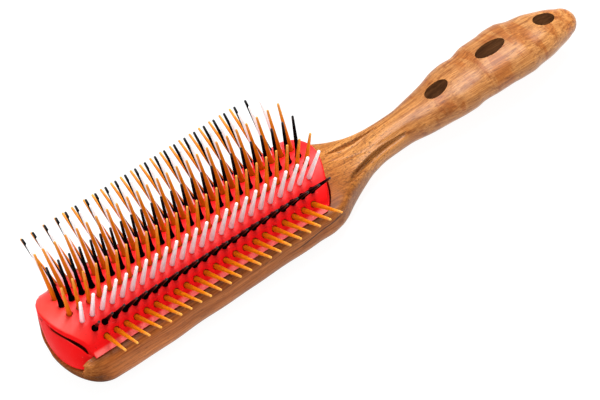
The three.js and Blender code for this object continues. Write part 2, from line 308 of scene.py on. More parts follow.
def trough_outline(grow):
    """Plan of the trough: straight sides, curved rear end, open past the tip."""
    half = 17.2
    ys = np.linspace(-half, half, 61)
    xs = pad_rear(ys) + 0.32 + 0.25 * smooth01((np.abs(ys) - 4) / 10)
    line = [(-75.0, -half)] + [(x, -half) for x in np.arange(-70, xs[0] - 2.5, 6.0)]
    line += list(zip(xs, ys))
    line += [(x, half) for x in reversed(np.arange(-70, xs[0] - 2.5, 6.0))] + [(-75.0, half)]
    p = np.array(line)
    q = p.copy()
    for i in range(1, len(p) - 1):
        t0 = p[i] - p[i - 1]
        t1 = p[i + 1] - p[i]
        t0, t1 = t0 / np.linalg.norm(t0), t1 / np.linalg.norm(t1)
        n = np.array([t0[1] + t1[1], -t0[0] - t1[0]])
        n /= np.linalg.norm(n)
        q[i] = p[i] + n * grow / max(0.5, float(n @ np.array([t1[1], -t1[0]])))
    q[0] = p[0] + np.array([0, -grow])
    q[-1] = p[-1] + np.array([0, grow])
    return q


def floor_z_at(y):
    # the trough's floor is coved up to the rails
    return 1.6 + 4.5 * (np.abs(y) / 17.0) ** 3


def cut_trough(ob):
    loops = [(1.6, trough_outline(0.0)), (10.3, trough_outline(0.0)), (10.75, trough_outline(0.05)),
             (11.0, trough_outline(0.14)), (11.25, trough_outline(0.3)), (32.0, trough_outline(0.3))]
    tool = prism("trough_cut", loops)
    ys = np.linspace(-18.0, 18.0, 61)
    sec = [(y, float(floor_z_at(y))) for y in ys] + [(18.0, 0.5), (-18.0, 0.5)]
    pts = [(x, y, z) for x in (-90.0, 70.0) for y, z in sec]
    n = len(sec)
    cove = mesh_object("cove", pts, grid_faces(2, n, 0, True) + [tuple(reversed(range(n))), tuple(range(n, 2 * n))])
    clean(cove)
    combine(tool, cove, "DIFFERENCE")
    combine(ob, tool, "DIFFERENCE")
    for side in (-1, 1):
        ends = [(-75, 16.6), (46.5, 16.6), (47.6, 17.2), (47.9, 17.6), (47.4, 17.8), (-75, 17.8)]
        outline = [(x, y * side) for x, y in ends]
        combine(ob, prism("groove_cut", [(7.5, outline), (9.7, outline)]), "DIFFERENCE")


OVALS = {"neck": (106.8, 4.7, 3.0), "grip": (130.8, 6.1, 3.0), "butt": (154.3, 4.1, 3.1)}


def oval(name, x, rx, ry, z0, z1):
    # slightly egg-shaped, hand cut
    t = np.linspace(0, 2 * math.pi, 72, endpoint=False)
    ox = x + rx * np.cos(t) + 0.22 * np.cos(2 * t)
    oy = ry * np.sin(t) * (1 + 0.04 * np.cos(t))
    outline = list(zip(ox, oy))
    return prism(name, [(z0, outline), (z1, outline)])


wood = wood_loft()
inlays = {}
for key, (x, rx, ry) in OVALS.items():
    floor_z = float(top_at(x)) - 3.2
    piece = copy_of(wood, "oval_" + key)
    combine(piece, oval("oval_tool", x, rx - 0.07, ry - 0.07, floor_z + 0.2, 40.0), "INTERSECT")
    inlays[key] = piece
for key, (x, rx, ry) in OVALS.items():
    floor_z = float(top_at(x)) - 3.2
    combine(wood, oval("oval_tool", x, rx + 0.05, ry + 0.05, floor_z, 40.0), "DIFFERENCE")
cut_trough(wood)


def ease_far_rail(ob):
    """The outer side of the far rail draws in towards the tip."""
    co = np.empty(len(ob.data.vertices) * 3)
    ob.data.vertices.foreach_get("co", co)
    co = co.reshape(-1, 3)
    x, y = co[:, 0] / MM - FIELD_X, co[:, 1] / MM
    co[:, 1] -= MM * 0.75 * smooth01((-34.0 - x) / 8.0) * np.maximum(y - 18.6, 0.0)
    ob.data.vertices.foreach_set("co", co.ravel())
    ob.data.update()


ease_far_rail(wood)
clean(wood)
shade(wood, 38)
for piece in inlays.values():
    clean(piece)
    shade(piece, 38)


def wood_marks(ob):
    """Painted shade on the flutes' inner walls, and painted highlights on the flutes' soft edges and on the end of the
    near rail.
    """
    co = np.empty(len(ob.data.vertices) * 3)
    ob.data.vertices.foreach_get("co", co)
    co = co.reshape(-1, 3) / MM - np.array([FIELD_X, 0.0, LIFT])
    x, y, z = co.T
    flute_shade, edge_highlight = np.zeros(len(x)), np.zeros(len(x))
    for sign, crisp, soft, start, stop, wall in ((-1, near_crisp, near_soft, 60.4, 89.5, 0.28), (1, far_crisp, far_soft, 61.2, 83.2, 0.14)):
        t = np.clip((x - start) / (stop - start), 0, 1)
        on = (t > 0) & (t < 1) & (z > 4)
        xc = np.clip(x, start, stop)
        c, e = crisp(xc), soft(xc)
        v = (sign * y - c) / (e - c)
        span = np.sin(math.pi * t) ** 0.5
        flute_shade = np.where(on, np.maximum(flute_shade, span * smooth01((v + 0.04) / 0.12) * (1 - smooth01((v - wall) / 0.22))), flute_shade)
        edge_highlight = np.where(on, np.maximum(edge_highlight, span * np.exp(-((v - 1.08) / 0.2) ** 2) * (0.9 if sign < 0 else 0.3)), edge_highlight)
    # the end of the near rail gets a painted highlight as well
    nub = smooth01((-50.6 - x) / 2.0) * smooth01((-14.6 - y) / 1.5) * smooth01((z - 3.0) / 2.5)
    edge_highlight = np.maximum(edge_highlight, 0.5 * nub)
    for name, values in (("flute_shade", flute_shade), ("edge_highlight", edge_highlight)):
        at = ob.data.attributes.new(name, "FLOAT", "POINT")
        at.data.foreach_set("value", values.astype(np.float32))


wood_marks(wood)

# ---------------------------------------------------------------- pin rows: where they stand
PITCH = 4.1
ROW_PINS = [22, 23, 24, 25, 25, 25, 24, 23, 22]
ROW_STEP = 12.03
PIN_TILT = [0.0, 12.74, 25.48, 38.22, 62.6]
PIN_LEN = [19.46, 19.46, 19.46, 19.46, 19.86]
# lean along the head of the pins at each end of a row, and how the row's
# sideways tilt drifts from its first pin to its last, in degrees
LEAN_TIP = [[-6.1, -4.0, -1.8], [-8.6, -4.7, -1.8], [-7.0, -3.3, -0.8], [-7.0, -4.7, -3.1], [-4.1, -1.5, -1.5, -1.2],
            [-1.8, -3.7, -2.1, -1.2], [-2.7, -1.8, -0.6, 0.9, 0.7, 0.5, 0.6, 0.7, 0.8, 0.9, 1.0, 1.1, 1.2, 1.3, 1.4, 1.5, 1.6, 1.7, 1.8, 1.9, 2.0],
            [-4.7, -3.6, -1.4],
            [-1.4, -1.1, 1.4, 3.6, 1.3, 0.5, 2.6, 1.2]]
LEAN_END = [[2.9, 0.5], [3.4, 2.4, 0.6], [4.7, 3.0, 2.0, 0.7], [3.0, 2.8, 0.7, 0.5], [2.5, 1.5, 0.9],
            [3.3, 2.0, 1.0], [3.2, 2.2, 1.0], [3.2, 2.2, 1.0], [3.2, 2.2, 1.0]]
TURN = [(0.0, 0.0), (0.8, -2.0), (0.0, 0.8), (0.7, -0.9), (1.9, -1.5), (2.2, -1.0), (1.5, -1.0), (0.5, -1.0), (0.0, 0.0)]
TURN_TIP = {3: [-3.0, -0.8]}
TURN_END = {3: [-3.8, -2.8, -1.2]}
ARC_R = 21.8
NYLON = ["amber", "black", "white", "amber", "black", "amber", "white", "black", "amber"]
rng = np.random.default_rng(7)


def row_pins(row):
    """Foot, direction and length of each pin of a row, in the working frame."""
    k = row - 4
    n = ROW_PINS[row]
    side = 1 if k > 0 else -1
    if abs(k) < 4:
        a = math.radians(k * ROW_STEP)
        y, z = ARC_R * math.sin(a), 0.2 + ARC_R * math.cos(a)
    else:
        y, z = 15.96 * side, 14.7
    tilt = math.radians(PIN_TILT[abs(k)]) * side
    out = []
    for i in range(n):
        lean, last = 0.0, n - 1 - i
        turn = TURN[row][0] + (TURN[row][1] - TURN[row][0]) * i / (n - 1)
        if i < len(LEAN_TIP[row]):
            lean = LEAN_TIP[row][i]
        if last < len(LEAN_END[row]):
            lean = LEAN_END[row][last]
        if i < len(TURN_TIP.get(row, [])):
            turn += TURN_TIP[row][i]
        if last < len(TURN_END.get(row, [])):
            turn += TURN_END[row][last]
        lean = math.radians(lean + rng.normal(0, 0.3))
        turn = tilt + math.radians(turn + rng.normal(0, 0.25))
        d = np.array([math.sin(lean), math.cos(lean) * math.sin(turn), math.cos(lean) * math.cos(turn)])
        foot = np.array([(i - (n - 1) / 2) * PITCH, y, z])
        out.append((foot, d, PIN_LEN[abs(k)]))
    return out, tilt, np.array([0.0, y, z])


ROWS = [row_pins(r) for r in range(9)]

# thickness along a pin: [distance from the foot, radius], the end cap is added
PIN_SHAPE = {
    "amber": [(-3.5, 0.88), (-0.6, 0.90), (0.0, 0.93), (0.8, 0.91), (2.5, 0.84), (6.0, 0.74), (10.0, 0.63), (14.0, 0.53), (17.0, 0.46), (18.7, 0.42)],
    "black": [(-3.5, 0.88), (-0.6, 0.95), (0.0, 1.08), (0.5, 1.04), (1.2, 0.92), (2.6, 0.82), (6.0, 0.72), (10.0, 0.62), (14.0, 0.53), (17.0, 0.47), (18.7, 0.44)],
    "white": [(-3.5, 0.86), (-0.6, 0.88), (0.0, 0.91), (0.9, 0.89), (2.5, 0.85), (6.0, 0.77), (10.0, 0.69), (14.0, 0.62), (17.0, 0.57), (18.5, 0.56)],
}


def basis(d):
    side = np.cross(d, [1.0, 0.0, 0.0])
    side /= np.linalg.norm(side)
    return side, np.cross(side, d)


def pin_mesh(foot, d, length, shape, seg=18):
    prof = list(shape)
    tip_r = prof[-1][1]
    scale = (length - tip_r) / prof[-1][0]
    prof = [(s if s <= 0 else s * scale, r) for s, r in prof]
    s0 = prof[-1][0]
    for t in (0.3, 0.6, 0.85, 1.1, 1.3, 1.45):
        prof.append((s0 + tip_r * math.sin(t), tip_r * math.cos(t)))
    u, v = basis(d)
    th = np.linspace(0, 2 * math.pi, seg, endpoint=False)
    circle = np.outer(np.cos(th), u) + np.outer(np.sin(th), v)
    pts, along = [], []
    for s, r in prof:
        pts.append(foot + d * s + circle * r)
        along += [s / length] * seg
    pts = np.concatenate(pts)
    faces = grid_faces(len(prof), seg, 0, True)
    faces.append(tuple(reversed(range(seg))))
    top = len(pts)
    pts = np.vstack([pts, foot + d * (s0 + tip_r)])
    along.append(1.0)
    base = (len(prof) - 1) * seg
    for j in range(seg):
        faces.append((base + j, base + (j + 1) % seg, top))
    return pts, faces, along


def strip_mesh(tilt, foot, length):
    """The thin bar under the pad that carries a row's pins, edges broken."""
    d = np.array([0.0, math.sin(tilt), math.cos(tilt)])
    t = np.array([0.0, math.cos(tilt), -math.sin(tilt)])
    sec = [(-1.0, -3.18), (-0.82, -3.0), (0.82, -3.0), (1.0, -3.18), (1.0, -3.82), (0.82, -4.0), (-0.82, -4.0), (-1.0, -3.82)]
    pts = []
    xs = [(-length / 2, 0.86), (-length / 2 + 0.18, 1.0), (length / 2 - 0.18, 1.0), (length / 2, 0.86)]
    for x, k in xs:
        for a, b in sec:
            pts.append(foot + t * a * k + d * (-3.5 + (b + 3.5) * k) + np.array([x, 0, 0]))
    faces = grid_faces(len(xs), len(sec), 0, True)
    faces.append(tuple(reversed(range(len(sec)))))
    faces.append(tuple(range(3 * len(sec), 4 * len(sec))))
    return np.array(pts), faces, [-0.2] * len(pts)


row_objects = []
for r in range(9):
    pins, tilt, foot0 = ROWS[r]
    pts, faces, along = [], [], []
    count = 0
    for foot, d, length in pins:
        p, f, a = pin_mesh(foot, d, length, PIN_SHAPE[NYLON[r]])
        pts.append(p)
        faces += [tuple(i + count for i in q) for q in f]
        along += a
        count += len(p)
    p, f, a = strip_mesh(tilt, foot0, (ROW_PINS[r] - 1) * PITCH + 3.4)
    pts.append(p)
    faces += [tuple(i + count for i in q) for q in f]
    along += a
    ob = mesh_object("pins_row_%d" % (r + 1), np.concatenate(pts), faces)
    at = ob.data.attributes.new("along", "FLOAT", "POINT")
    at.data.foreach_set("value", along)
    bm = bmesh.new()
    bm.from_mesh(ob.data)
    bmesh.ops.recalc_face_normals(bm, faces=bm.faces)
    bm.to_mesh(ob.data)
    bm.free()
    shade(ob, 50)
    row_objects.append(ob)

# ---------------------------------------------------------------- rubber pad
prof = [(21.8 * math.sin(math.radians(a)), 21.8 * math.cos(math.radians(a)) - 21.8) for a in range(0, 41, 2)]
prof += [(14.013 + 13.5 * (math.sin(math.radians(a)) - 0.6428), -5.10 - 13.5 * (0.766 - math.cos(math.radians(a)))) for a in range(42, 55, 2)]
prof += [(16.5, -8.45), (16.72, -9.15), (17.0, -9.6), (17.4, -9.92), (18.0, -10.22), (18.6, -10.5), (18.95, -10.66)]
prof = np.array(prof)
dome_w = monotone(prof[:, 0], prof[:, 1])
HALF = 18.95

rim_x = monotone([0, 2.8, 5.7, 9.3, 11.5, 14.0, 15.8, 17.2, 18.95],
                 [-57.2, -57.05, -56.5, -55.0, -53.5, -51.75, -50.65, -50.1, -49.95])


def far_shift(y):
    # the open end is trimmed a little further back on the far side
    y = np.asarray(y, dtype=float)
    return 0.6 * smooth01((y - 2) / 6) * (1 - smooth01((y - 12) / 5))


def rim_front(y):
    # the far lip is cut back at its front corner
    y = np.asarray(y, dtype=float)
    return rim_x(np.abs(y)) + far_shift(y) + 6.5 * smooth01((y - 16.6) / 2.2)


feet = []
for r in range(9):
    for foot, d, length in ROWS[r][0]:
        feet.append((foot, d, NYLON[r]))
feet_xyz = np.array([f[0] for f in feet])


def pad_shell():
    # columns even along the dome's outline
    fine = np.linspace(0, HALF, 2000)
    fw = dome_w(fine)
    arc = np.concatenate([[0], np.cumsum(np.hypot(np.diff(fine), np.diff(fw)))])
    half_cols = 44
    ys = np.interp(np.linspace(0, arc[-1], half_cols + 1), arc, fine)
    ys = np.concatenate([-ys[:0:-1], ys])
    w = dome_w(np.abs(ys))
    slope = np.gradient(w, ys)
    nrm = np.stack([-slope, np.ones_like(slope)], 1)
    nrm /= np.linalg.norm(nrm, axis=1)[:, None]
    xf, xr = rim_front(ys), pad_rear(ys)
    cols = len(ys)
    rows = []
    rf, rr = 0.85, 0.6

    def row(x, drop):
        y = ys - nrm[:, 0] * drop
        z = CROWN_Z + w - nrm[:, 1] * drop
        return np.stack([x, y, z], 1)

    low = np.where(np.abs(ys) > 17.1, 11.2 - 0.12 * (0.985 * np.abs(ys) - 17.2), 10.72)
    # the rounding is kept within the thin lip that lies on the rails
    df, dr = (np.minimum(r, np.maximum(CROWN_Z + w - low - 0.05, 0.06)) for r in (rf, rr))
    under = np.stack([xf, ys * 0.985, low], 1)
    edge = row(xf, df)
    for t in np.linspace(1, 0.08, 9):
        rows.append(under * t + edge * (1 - t))
    # the rounded front edge of the rim, the dome, and the rounded rear edge
    for t in np.linspace(0, math.pi / 2, 7):
        rows.append(row(xf + rf * (1 - math.cos(t)), df * (1 - math.sin(t))))
    us = np.linspace(0, 1, 190)[1:-1]
    for u in us:
        rows.append(row((xf + rf) * (1 - u) + (xr - rr) * u, 0.0))
    for t in np.linspace(math.pi / 2, 0, 6):
        rows.append(row(xr - rr * (1 - math.cos(t)), dr * (1 - math.sin(t))))
    under = np.stack([xr, ys * 0.985, low], 1)
    edge = row(xr, dr)
    for t in np.linspace(0.08, 1, 6):
        rows.append(under * t + edge * (1 - t))
    pts = np.stack(rows)
    # the rubber is drawn in a little round each pin
    flat = pts.reshape(-1, 3)
    body = np.zeros(len(flat))
    for i in range(len(feet_xyz)):
        d = np.linalg.norm(flat - feet_xyz[i], axis=1)
        m = d < 2.3
        body[m] = np.maximum(body[m], 0.16 * (1 - smooth01((d[m] - 0.9) / 1.3)))
    nn = np.tile(nrm, (len(rows), 1))
    flat[:, 1] -= nn[:, 0] * body
    flat[:, 2] -= nn[:, 1] * body
    # a moulded sheet is never quite even
    wave = 0.05 * np.sin(flat[:, 0] / 6.1 + flat[:, 1] / 3.7) + 0.04 * np.sin(flat[:, 0] / 3.3 - flat[:, 1] / 5.3 + 1.0)
    flat[:, 2] += wave * smooth01((flat[:, 2] - 12.0) / 3.0)
    # the far shoulder sinks a little towards the open end
    flat[:, 2] -= 1.1 * smooth01((-43.6 - flat[:, 0]) / 4.0) * smooth01((flat[:, 1] - 9.5) / 4.5) * smooth01((flat[:, 2] - 11.6) / 2.0)
    n = len(rows)
    faces = grid_faces(n, cols)
    # sides and bottom
    left = [i * cols for i in range(n)]
    right = [i * cols + cols - 1 for i in range(n)]
    bottom_front = list(range(cols))
    bottom_rear = list(range((n - 1) * cols, n * cols))
    faces.append(tuple(left))
    faces.append(tuple(reversed(right)))
    for a, b, c, d in zip(bottom_front, bottom_front[1:], bottom_rear[1:], bottom_rear):
        faces.append((a, d, c, b))
    ob = mesh_object("rubber_cushion", flat, faces)
    clean(ob)
    return ob


def hollow_tool():
    inner = [(20.0 * math.sin(math.radians(a)), 20.0 * math.cos(math.radians(a)) - 21.8) for a in range(0, 45, 4)]
    inner += [(14.7, -8.6), (15.05, -9.8), (15.2, -10.8), (15.1, -12.0), (15.0, -13.2)]
    inner = np.array(inner)
    ys = np.concatenate([-inner[:0:-1, 0], inner[:, 0]])
    ws = np.concatenate([inner[:0:-1, 1], inner[:, 1]])
    sec = [(y, CROWN_Z + w) for y, w in zip(ys, ws)] + [(15.0, 0.0), (-15.0, 0.0)]
    pts, faces = [], []
    for x0 in (-75.0, None):
        for y, z in sec:
            pts.append((x0 if x0 is not None else float(pad_rear(y)) - 2.6, y, z))
    n = len(sec)
    faces = grid_faces(2, n, 0, True)
    faces.append(tuple(reversed(range(n))))
    faces.append(tuple(range(n, 2 * n)))
    ob = mesh_object("hollow_tool", pts, faces)
    # the rear wall of the tool is curved in plan, so it is split into triangles
    bm = bmesh.new()
    bm.from_mesh(ob.data)
    bmesh.ops.triangulate(bm, faces=[f for f in bm.faces if len(f.verts) > 4])
    bmesh.ops.recalc_face_normals(bm, faces=bm.faces)
    bm.to_mesh(ob.data)
    bm.free()
    return ob


def hole_tool():
    pts, faces = [], []
    seg = 22
    th = np.linspace(0, 2 * math.pi, seg, endpoint=False)
    count = 0
    for foot, d, kind in feet:
        rt = {"amber": 1.17, "black": 1.2, "white": 1.05}[kind]
        u, v = basis(d)
        circle = np.outer(np.cos(th), u) + np.outer(np.sin(th), v)
        flare = 0.5 if abs(foot[1]) > 15 else 1.0
        rt += 0.06 * (1 - flare)
        for s, r in ((-3.6, rt + 0.28), (-1.2, rt + 0.04), (-0.25, rt), (0.35, rt + 0.08 * flare), (1.6, rt + 0.2 * flare)):
            pts.append(foot + d * s + circle * r)
        faces += grid_faces(5, seg, count, True)
        faces.append(tuple(reversed(range(count, count + seg))))
        faces.append(tuple(range(count + 4 * seg, count + 5 * seg)))
        count += 5 * seg
    ob = mesh_object("hole_tool", np.concatenate(pts), faces)
    bm = bmesh.new()
    bm.from_mesh(ob.data)
    bmesh.ops.recalc_face_normals(bm, faces=bm.faces)
    bm.to_mesh(ob.data)
    bm.free()
    return ob


flap_top = monotone([0, 0.6, 1.1, 2.0, 4.0, 6.5, 8.8, 10.5, 12.45, 13.6, 14.7, 15.6, 16.7],
                    [-1.2, -1.6, -2.6, -3.8, -4.4, -4.65, -4.95, -5.5, -6.55, -7.6, -8.9, -10.6, -11.6])
flap_front = monotone([0, 3.0, 6.0, 8.6, 10.5, 12.2, 13.9, 15.0, 15.9, 16.7],
                      [-57.0, -56.9, -56.4, -55.6, -54.9, -54.1, -53.0, -52.3, -51.7, -51.2])
flap_thick = monotone([0, 1.0, 2.0, 12.0, 15.0, 15.8, 16.7], [1.2, 1.0, 0.6, 0.6, 0.7, 1.2, 2.6])


def front_flap():
    """The panel that closes the pad's open end: joined to the rim at the crown and at both lower corners, with a slit between."""
    ys = np.linspace(-16.7, 16.7, 117)
    ay = np.abs(ys)
    z0 = floor_z_at(ys) + 0.3
    z1 = CROWN_Z + flap_top(ay)
    x0 = -56.45 + np.where(ys < 0, 0.0115, 0.0182) * ys ** 2 + 0.35 * smooth01((ys + 4) / 8)
    x1 = flap_front(ay) + far_shift(ys)
    thick = flap_thick(ay)
    rows = []
    for h in np.linspace(0, 1, 41):
        x = x0 * (1 - h) + x1 * h - 0.3 * math.sin(math.pi * min(1.0, h * 1.05)) * (1 - smooth01((ay - 11) / 5))
        z = z0 * (1 - h) + (z1 - 0.45) * h
        rows.append(np.stack([x + (0.45 * (1 - h / 0.06) ** 2 if h < 0.06 else 0.0), ys, z], 1))
    xt = rows[-1][:, 0]
    for t in np.linspace(0.25, math.pi - 0.25, 8):
        rows.append(np.stack([xt + 0.5 * thick * (1 - math.cos(t)), ys, z1 - 0.45 + 0.45 * math.sin(t)], 1))
    for h in np.linspace(1, 0, 10):
        x = x0 * (1 - h) + x1 * h + thick + 0.5 * (1 - h)
        z = z0 * (1 - h) + (z1 - 0.45) * h
        rows.append(np.stack([x, ys, z], 1))
    n, cols = len(rows), len(ys)
    pts = np.concatenate(rows)
    faces = grid_faces(n, cols, 0, False)
    for j in range(cols - 1):
        a, b = (n - 1) * cols + j, j
        faces.append((a, a + 1, b + 1, b))
    faces.append(tuple(i * cols for i in range(n)))
    faces.append(tuple(i * cols + cols - 1 for i in reversed(range(n))))
    ob = mesh_object("flap_tool", pts, faces)
    clean(ob)
    bm = bmesh.new()
    bm.from_mesh(ob.data)
    bmesh.ops.triangulate(bm, faces=[f for f in bm.faces if len(f.verts) > 4])
    bm.to_mesh(ob.data)
    bm.free()
    return ob


def skirt():
    """The part of the pad between the rails, below the dome's edge."""
    ys = np.linspace(-16.85, 16.85, 61)
    line = [(float(rim_front(y)) + 0.05, y) for y in ys] + [(float(pad_rear(y)) - 0.05, y) for y in ys[::-1]]
    return prism("skirt_tool", [(7.8, line), (11.2, line)])


def flange_bar(side):
    outline = [(-48.6, 15.6), (46.4, 15.6), (47.0, 16.6), (47.0, 17.3), (46.7, 17.6), (-48.2, 17.6), (-48.6, 17.3)]
    outline = [(x, y * side) for x, y in outline]
    inset = [(x * 0.997, y * 0.992) for x, y in outline]
    return prism("flange_tool", [(7.85, inset), (8.05, outline), (9.2, outline), (9.4, inset)])


pad = pad_shell()
combine(pad, skirt(), "UNION")
combine(pad, hollow_tool(), "DIFFERENCE")
combine(pad, hole_tool(), "DIFFERENCE")
for side in (-1, 1):
    combine(pad, flange_bar(side), "UNION")
combine(pad, front_flap(), "UNION")
clean(pad, 5e-7)
shade(pad, 42)

# ---------------------------------------------------------------- materials


def material(name):
    m = bpy.data.materials.new(name)
    m.use_nodes = True
    nt = m.node_tree
    return m, nt, nt.nodes["Principled BSDF"]


def link(nt, a, b):
    nt.links.new(a, b)


def coords(nt, scale, rotation=(0, 0, 0), offset=(0, 0, 0), source=None):
    mp = nt.nodes.new("ShaderNodeMapping")
    mp.inputs["Scale"].default_value = scale
    mp.inputs["Rotation"].default_value = rotation
    mp.inputs["Location"].default_value = offset
    if source is None:
        tc = nt.nodes.new("ShaderNodeTexCoord")
        source = tc.outputs["Object"]
    link(nt, source, mp.inputs["Vector"])
    return mp.outputs["Vector"]


def noise(nt, vector, scale=1.0, detail=4.0, rough=0.55, distortion=0.0):
    n = nt.nodes.new("ShaderNodeTexNoise")
    n.inputs["Scale"].default_value = scale
    n.inputs["Detail"].default_value = detail
    n.inputs["Roughness"].default_value = rough
    n.inputs["Distortion"].default_value = distortion
    link(nt, vector, n.inputs["Vector"])
    return n


def ramp(nt, fac, stops, mode="LINEAR"):
    r = nt.nodes.new("ShaderNodeValToRGB")
    r.color_ramp.interpolation = mode
    e = r.color_ramp.elements
    while len(e) < len(stops):
        e.new(0.5)
    for i, (p, c) in enumerate(stops):
        e[i].position = p
        e[i].color = (*c, 1.0) if len(c) == 3 else c
    link(nt, fac, r.inputs["Fac"])
    return r.outputs["Color"]


def grey(v):
    return (v, v, v)


def mix(nt, fac, a, b, blend="MIX"):
    m = nt.nodes.new("ShaderNodeMix")
    m.data_type = "RGBA"
    m.blend_type = blend
    if isinstance(fac, (int, float)):
        m.inputs[0].default_value = fac
    else:
        link(nt, fac, m.inputs[0])
    for idx, v in ((6, a), (7, b)):
        if isinstance(v, tuple):
            m.inputs[idx].default_value = (*v, 1.0)
        else:
            link(nt, v, m.inputs[idx])
    return m.outputs[2]


def math_node(nt, op, a, b=None, clamp=False):
    m = nt.nodes.new("ShaderNodeMath")
    m.operation = op
    m.use_clamp = clamp
    for i, v in enumerate((a, b)):
        if v is None:
            continue
        if isinstance(v, (int, float)):
            m.inputs[i].default_value = v
        else:
            link(nt, v, m.inputs[i])
    return m.outputs[0]


def bump(nt, height, strength, distance, bsdf):
    b = nt.nodes.new("ShaderNodeBump")
    b.inputs["Strength"].default_value = strength
    b.inputs["Distance"].default_value = distance
    link(nt, height, b.inputs["Height"])
    link(nt, b.outputs["Normal"], bsdf.inputs["Normal"])


def wood_material():
    m, nt, bsdf = material("figured_wood")
    tc = nt.nodes.new("ShaderNodeTexCoord")
    src = tc.outputs["Object"]
    # long slow waves bend the grain
    warp = noise(nt, coords(nt, (16, 30, 30), source=src), 1.0, 2.0, 0.5)
    vm = nt.nodes.new("ShaderNodeVectorMath")
    vm.operation = "MULTIPLY_ADD"
    link(nt, warp.outputs["Color"], vm.inputs[0])
    vm.inputs[1].default_value = (0.0, 0.007, 0.007)
    link(nt, src, vm.inputs[2])
    bent = vm.outputs["Vector"]

    sx = nt.nodes.new("ShaderNodeSeparateXYZ")
    link(nt, src, sx.inputs[0])
    place = math_node(nt, "MULTIPLY_ADD", sx.outputs["X"], 4.4643)
    place.node.inputs[2].default_value = 0.5

    # the wood's colour along its length; its first stops paint the front end lighter, as painted light on the front lip
    base = ramp(nt, place, [
        (0.00, (0.40, 0.130, 0.030)), (0.018, (0.36, 0.112, 0.024)), (0.035, (0.300, 0.087, 0.017)), (0.46, (0.310, 0.094, 0.018)),
        (0.515, (0.36, 0.122, 0.022)), (0.57, (0.41, 0.158, 0.036)), (0.68, (0.45, 0.178, 0.047)), (0.76, (0.46, 0.186, 0.052)),
        (0.90, (0.50, 0.210, 0.060)), (1.00, (0.66, 0.285, 0.080))])

    # painted shade on the rails' tops beside the pad, and painted light on their outer sides
    out_y = math_node(nt, "MULTIPLY_ADD", math_node(nt, "ABSOLUTE", sx.outputs["Y"]), 250.0)
    out_y.node.inputs[2].default_value = -4.45
    rail = ramp(nt, out_y, [(0.0, (0.50, 0.52, 0.60)), (0.45, (0.62, 0.64, 0.70)), (1.0, (1.52, 1.50, 1.60))])
    base = mix(nt, ramp(nt, place, [(0.010, grey(0.15)), (0.032, grey(1.0)), (0.44, grey(1.0)), (0.49, grey(0.0))]), base, mix(nt, 1.0, base, rail, "MULTIPLY"))

    # painted light: the neck's top is painted paler on its far half, and the rounded front end gets painted shade on
    # faces turned down and painted light on faces turned up
    side = math_node(nt, "MULTIPLY_ADD", sx.outputs["Y"], 40.0)
    side.node.inputs[2].default_value = 0.5
    tone = ramp(nt, side, [(0.10, (0.92, 0.90, 0.88)), (0.45, (1.34, 1.47, 1.58)), (0.8, (1.42, 1.58, 1.75))])
    zone = ramp(nt, place, [(0.48, grey(0.0)), (0.52, grey(1.0)), (0.60, grey(1.0)), (0.66, grey(0.0))])
    base = mix(nt, zone, base, mix(nt, 1.0, base, tone, "MULTIPLY"))
    geo = nt.nodes.new("ShaderNodeNewGeometry")
    sn = nt.nodes.new("ShaderNodeSeparateXYZ")
    link(nt, geo.outputs["Normal"], sn.inputs[0])
    below = ramp(nt, math_node(nt, "MULTIPLY_ADD", sn.outputs["Z"], 0.5), [(0.0, (0.35, 0.32, 0.30)), (0.40, (0.58, 0.54, 0.50)), (0.55, grey(1.0)), (0.85, (1.35, 1.35, 1.35))])
    below.node.inputs["Fac"].links[0].from_node.inputs[2].default_value = 0.5
    front = ramp(nt, place, [(0.02, grey(1.0)), (0.07, grey(0.0))])
    base = mix(nt, front, base, mix(nt, 1.0, base, below, "MULTIPLY"))

    # a dark line painted along the viewer's rail, and painted light below it: the head's sides are painted paler and
    # bluer towards the bottom
    rail_line_z = math_node(nt, "MULTIPLY_ADD", sx.outputs["X"], 0.137)
    rail_line_z.node.inputs[2].default_value = 0.01335
    wob = math_node(nt, "MULTIPLY_ADD", warp.outputs["Fac"], 0.0012)
    wob.node.inputs[2].default_value = -0.0006
    off = math_node(nt, "ADD", math_node(nt, "SUBTRACT", sx.outputs["Z"], rail_line_z), wob)
    near_side = ramp(nt, math_node(nt, "MULTIPLY", sx.outputs["Y"], -50.0), [(0.93, grey(0.0)), (0.99, grey(1.0))])
    reach = math_node(nt, "MULTIPLY", near_side, ramp(nt, place, [(0.365, grey(0.0)), (0.41, grey(1.0)), (0.47, grey(1.0)), (0.487, grey(0.0))]))
    rail_line = ramp(nt, math_node(nt, "ABSOLUTE", math_node(nt, "MULTIPLY", off, 1000.0)), [(0.14, grey(0.95)), (0.42, grey(0.0))])
    base = mix(nt, math_node(nt, "MULTIPLY", rail_line, reach), base, (0.060, 0.020, 0.010))
    # painted light: paler and bluer towards the bottom of the head's sides
    lower = ramp(nt, math_node(nt, "MULTIPLY_ADD", sx.outputs["Z"], 125.0), [(0.0, (1.22, 1.34, 1.55)), (1.0, grey(1.0))])
    lower.node.inputs["Fac"].links[0].from_node.inputs[2].default_value = -0.75
    base = mix(nt, ramp(nt, place, [(0.03, grey(0.0)), (0.06, grey(1.0)), (0.47, grey(1.0)), (0.52, grey(0.0))]), base, mix(nt, 1.0, base, lower, "MULTIPLY"))

    streak = noise(nt, coords(nt, (12, 980, 980), source=bent), 1.0, 5.0, 0.65)
    col = mix(nt, 1.0, base, ramp(nt, streak.outputs["Fac"], [(0.30, (0.62, 0.50, 0.38)), (0.50, grey(0.98)), (0.70, (1.28, 1.34, 1.38))]), "MULTIPLY")

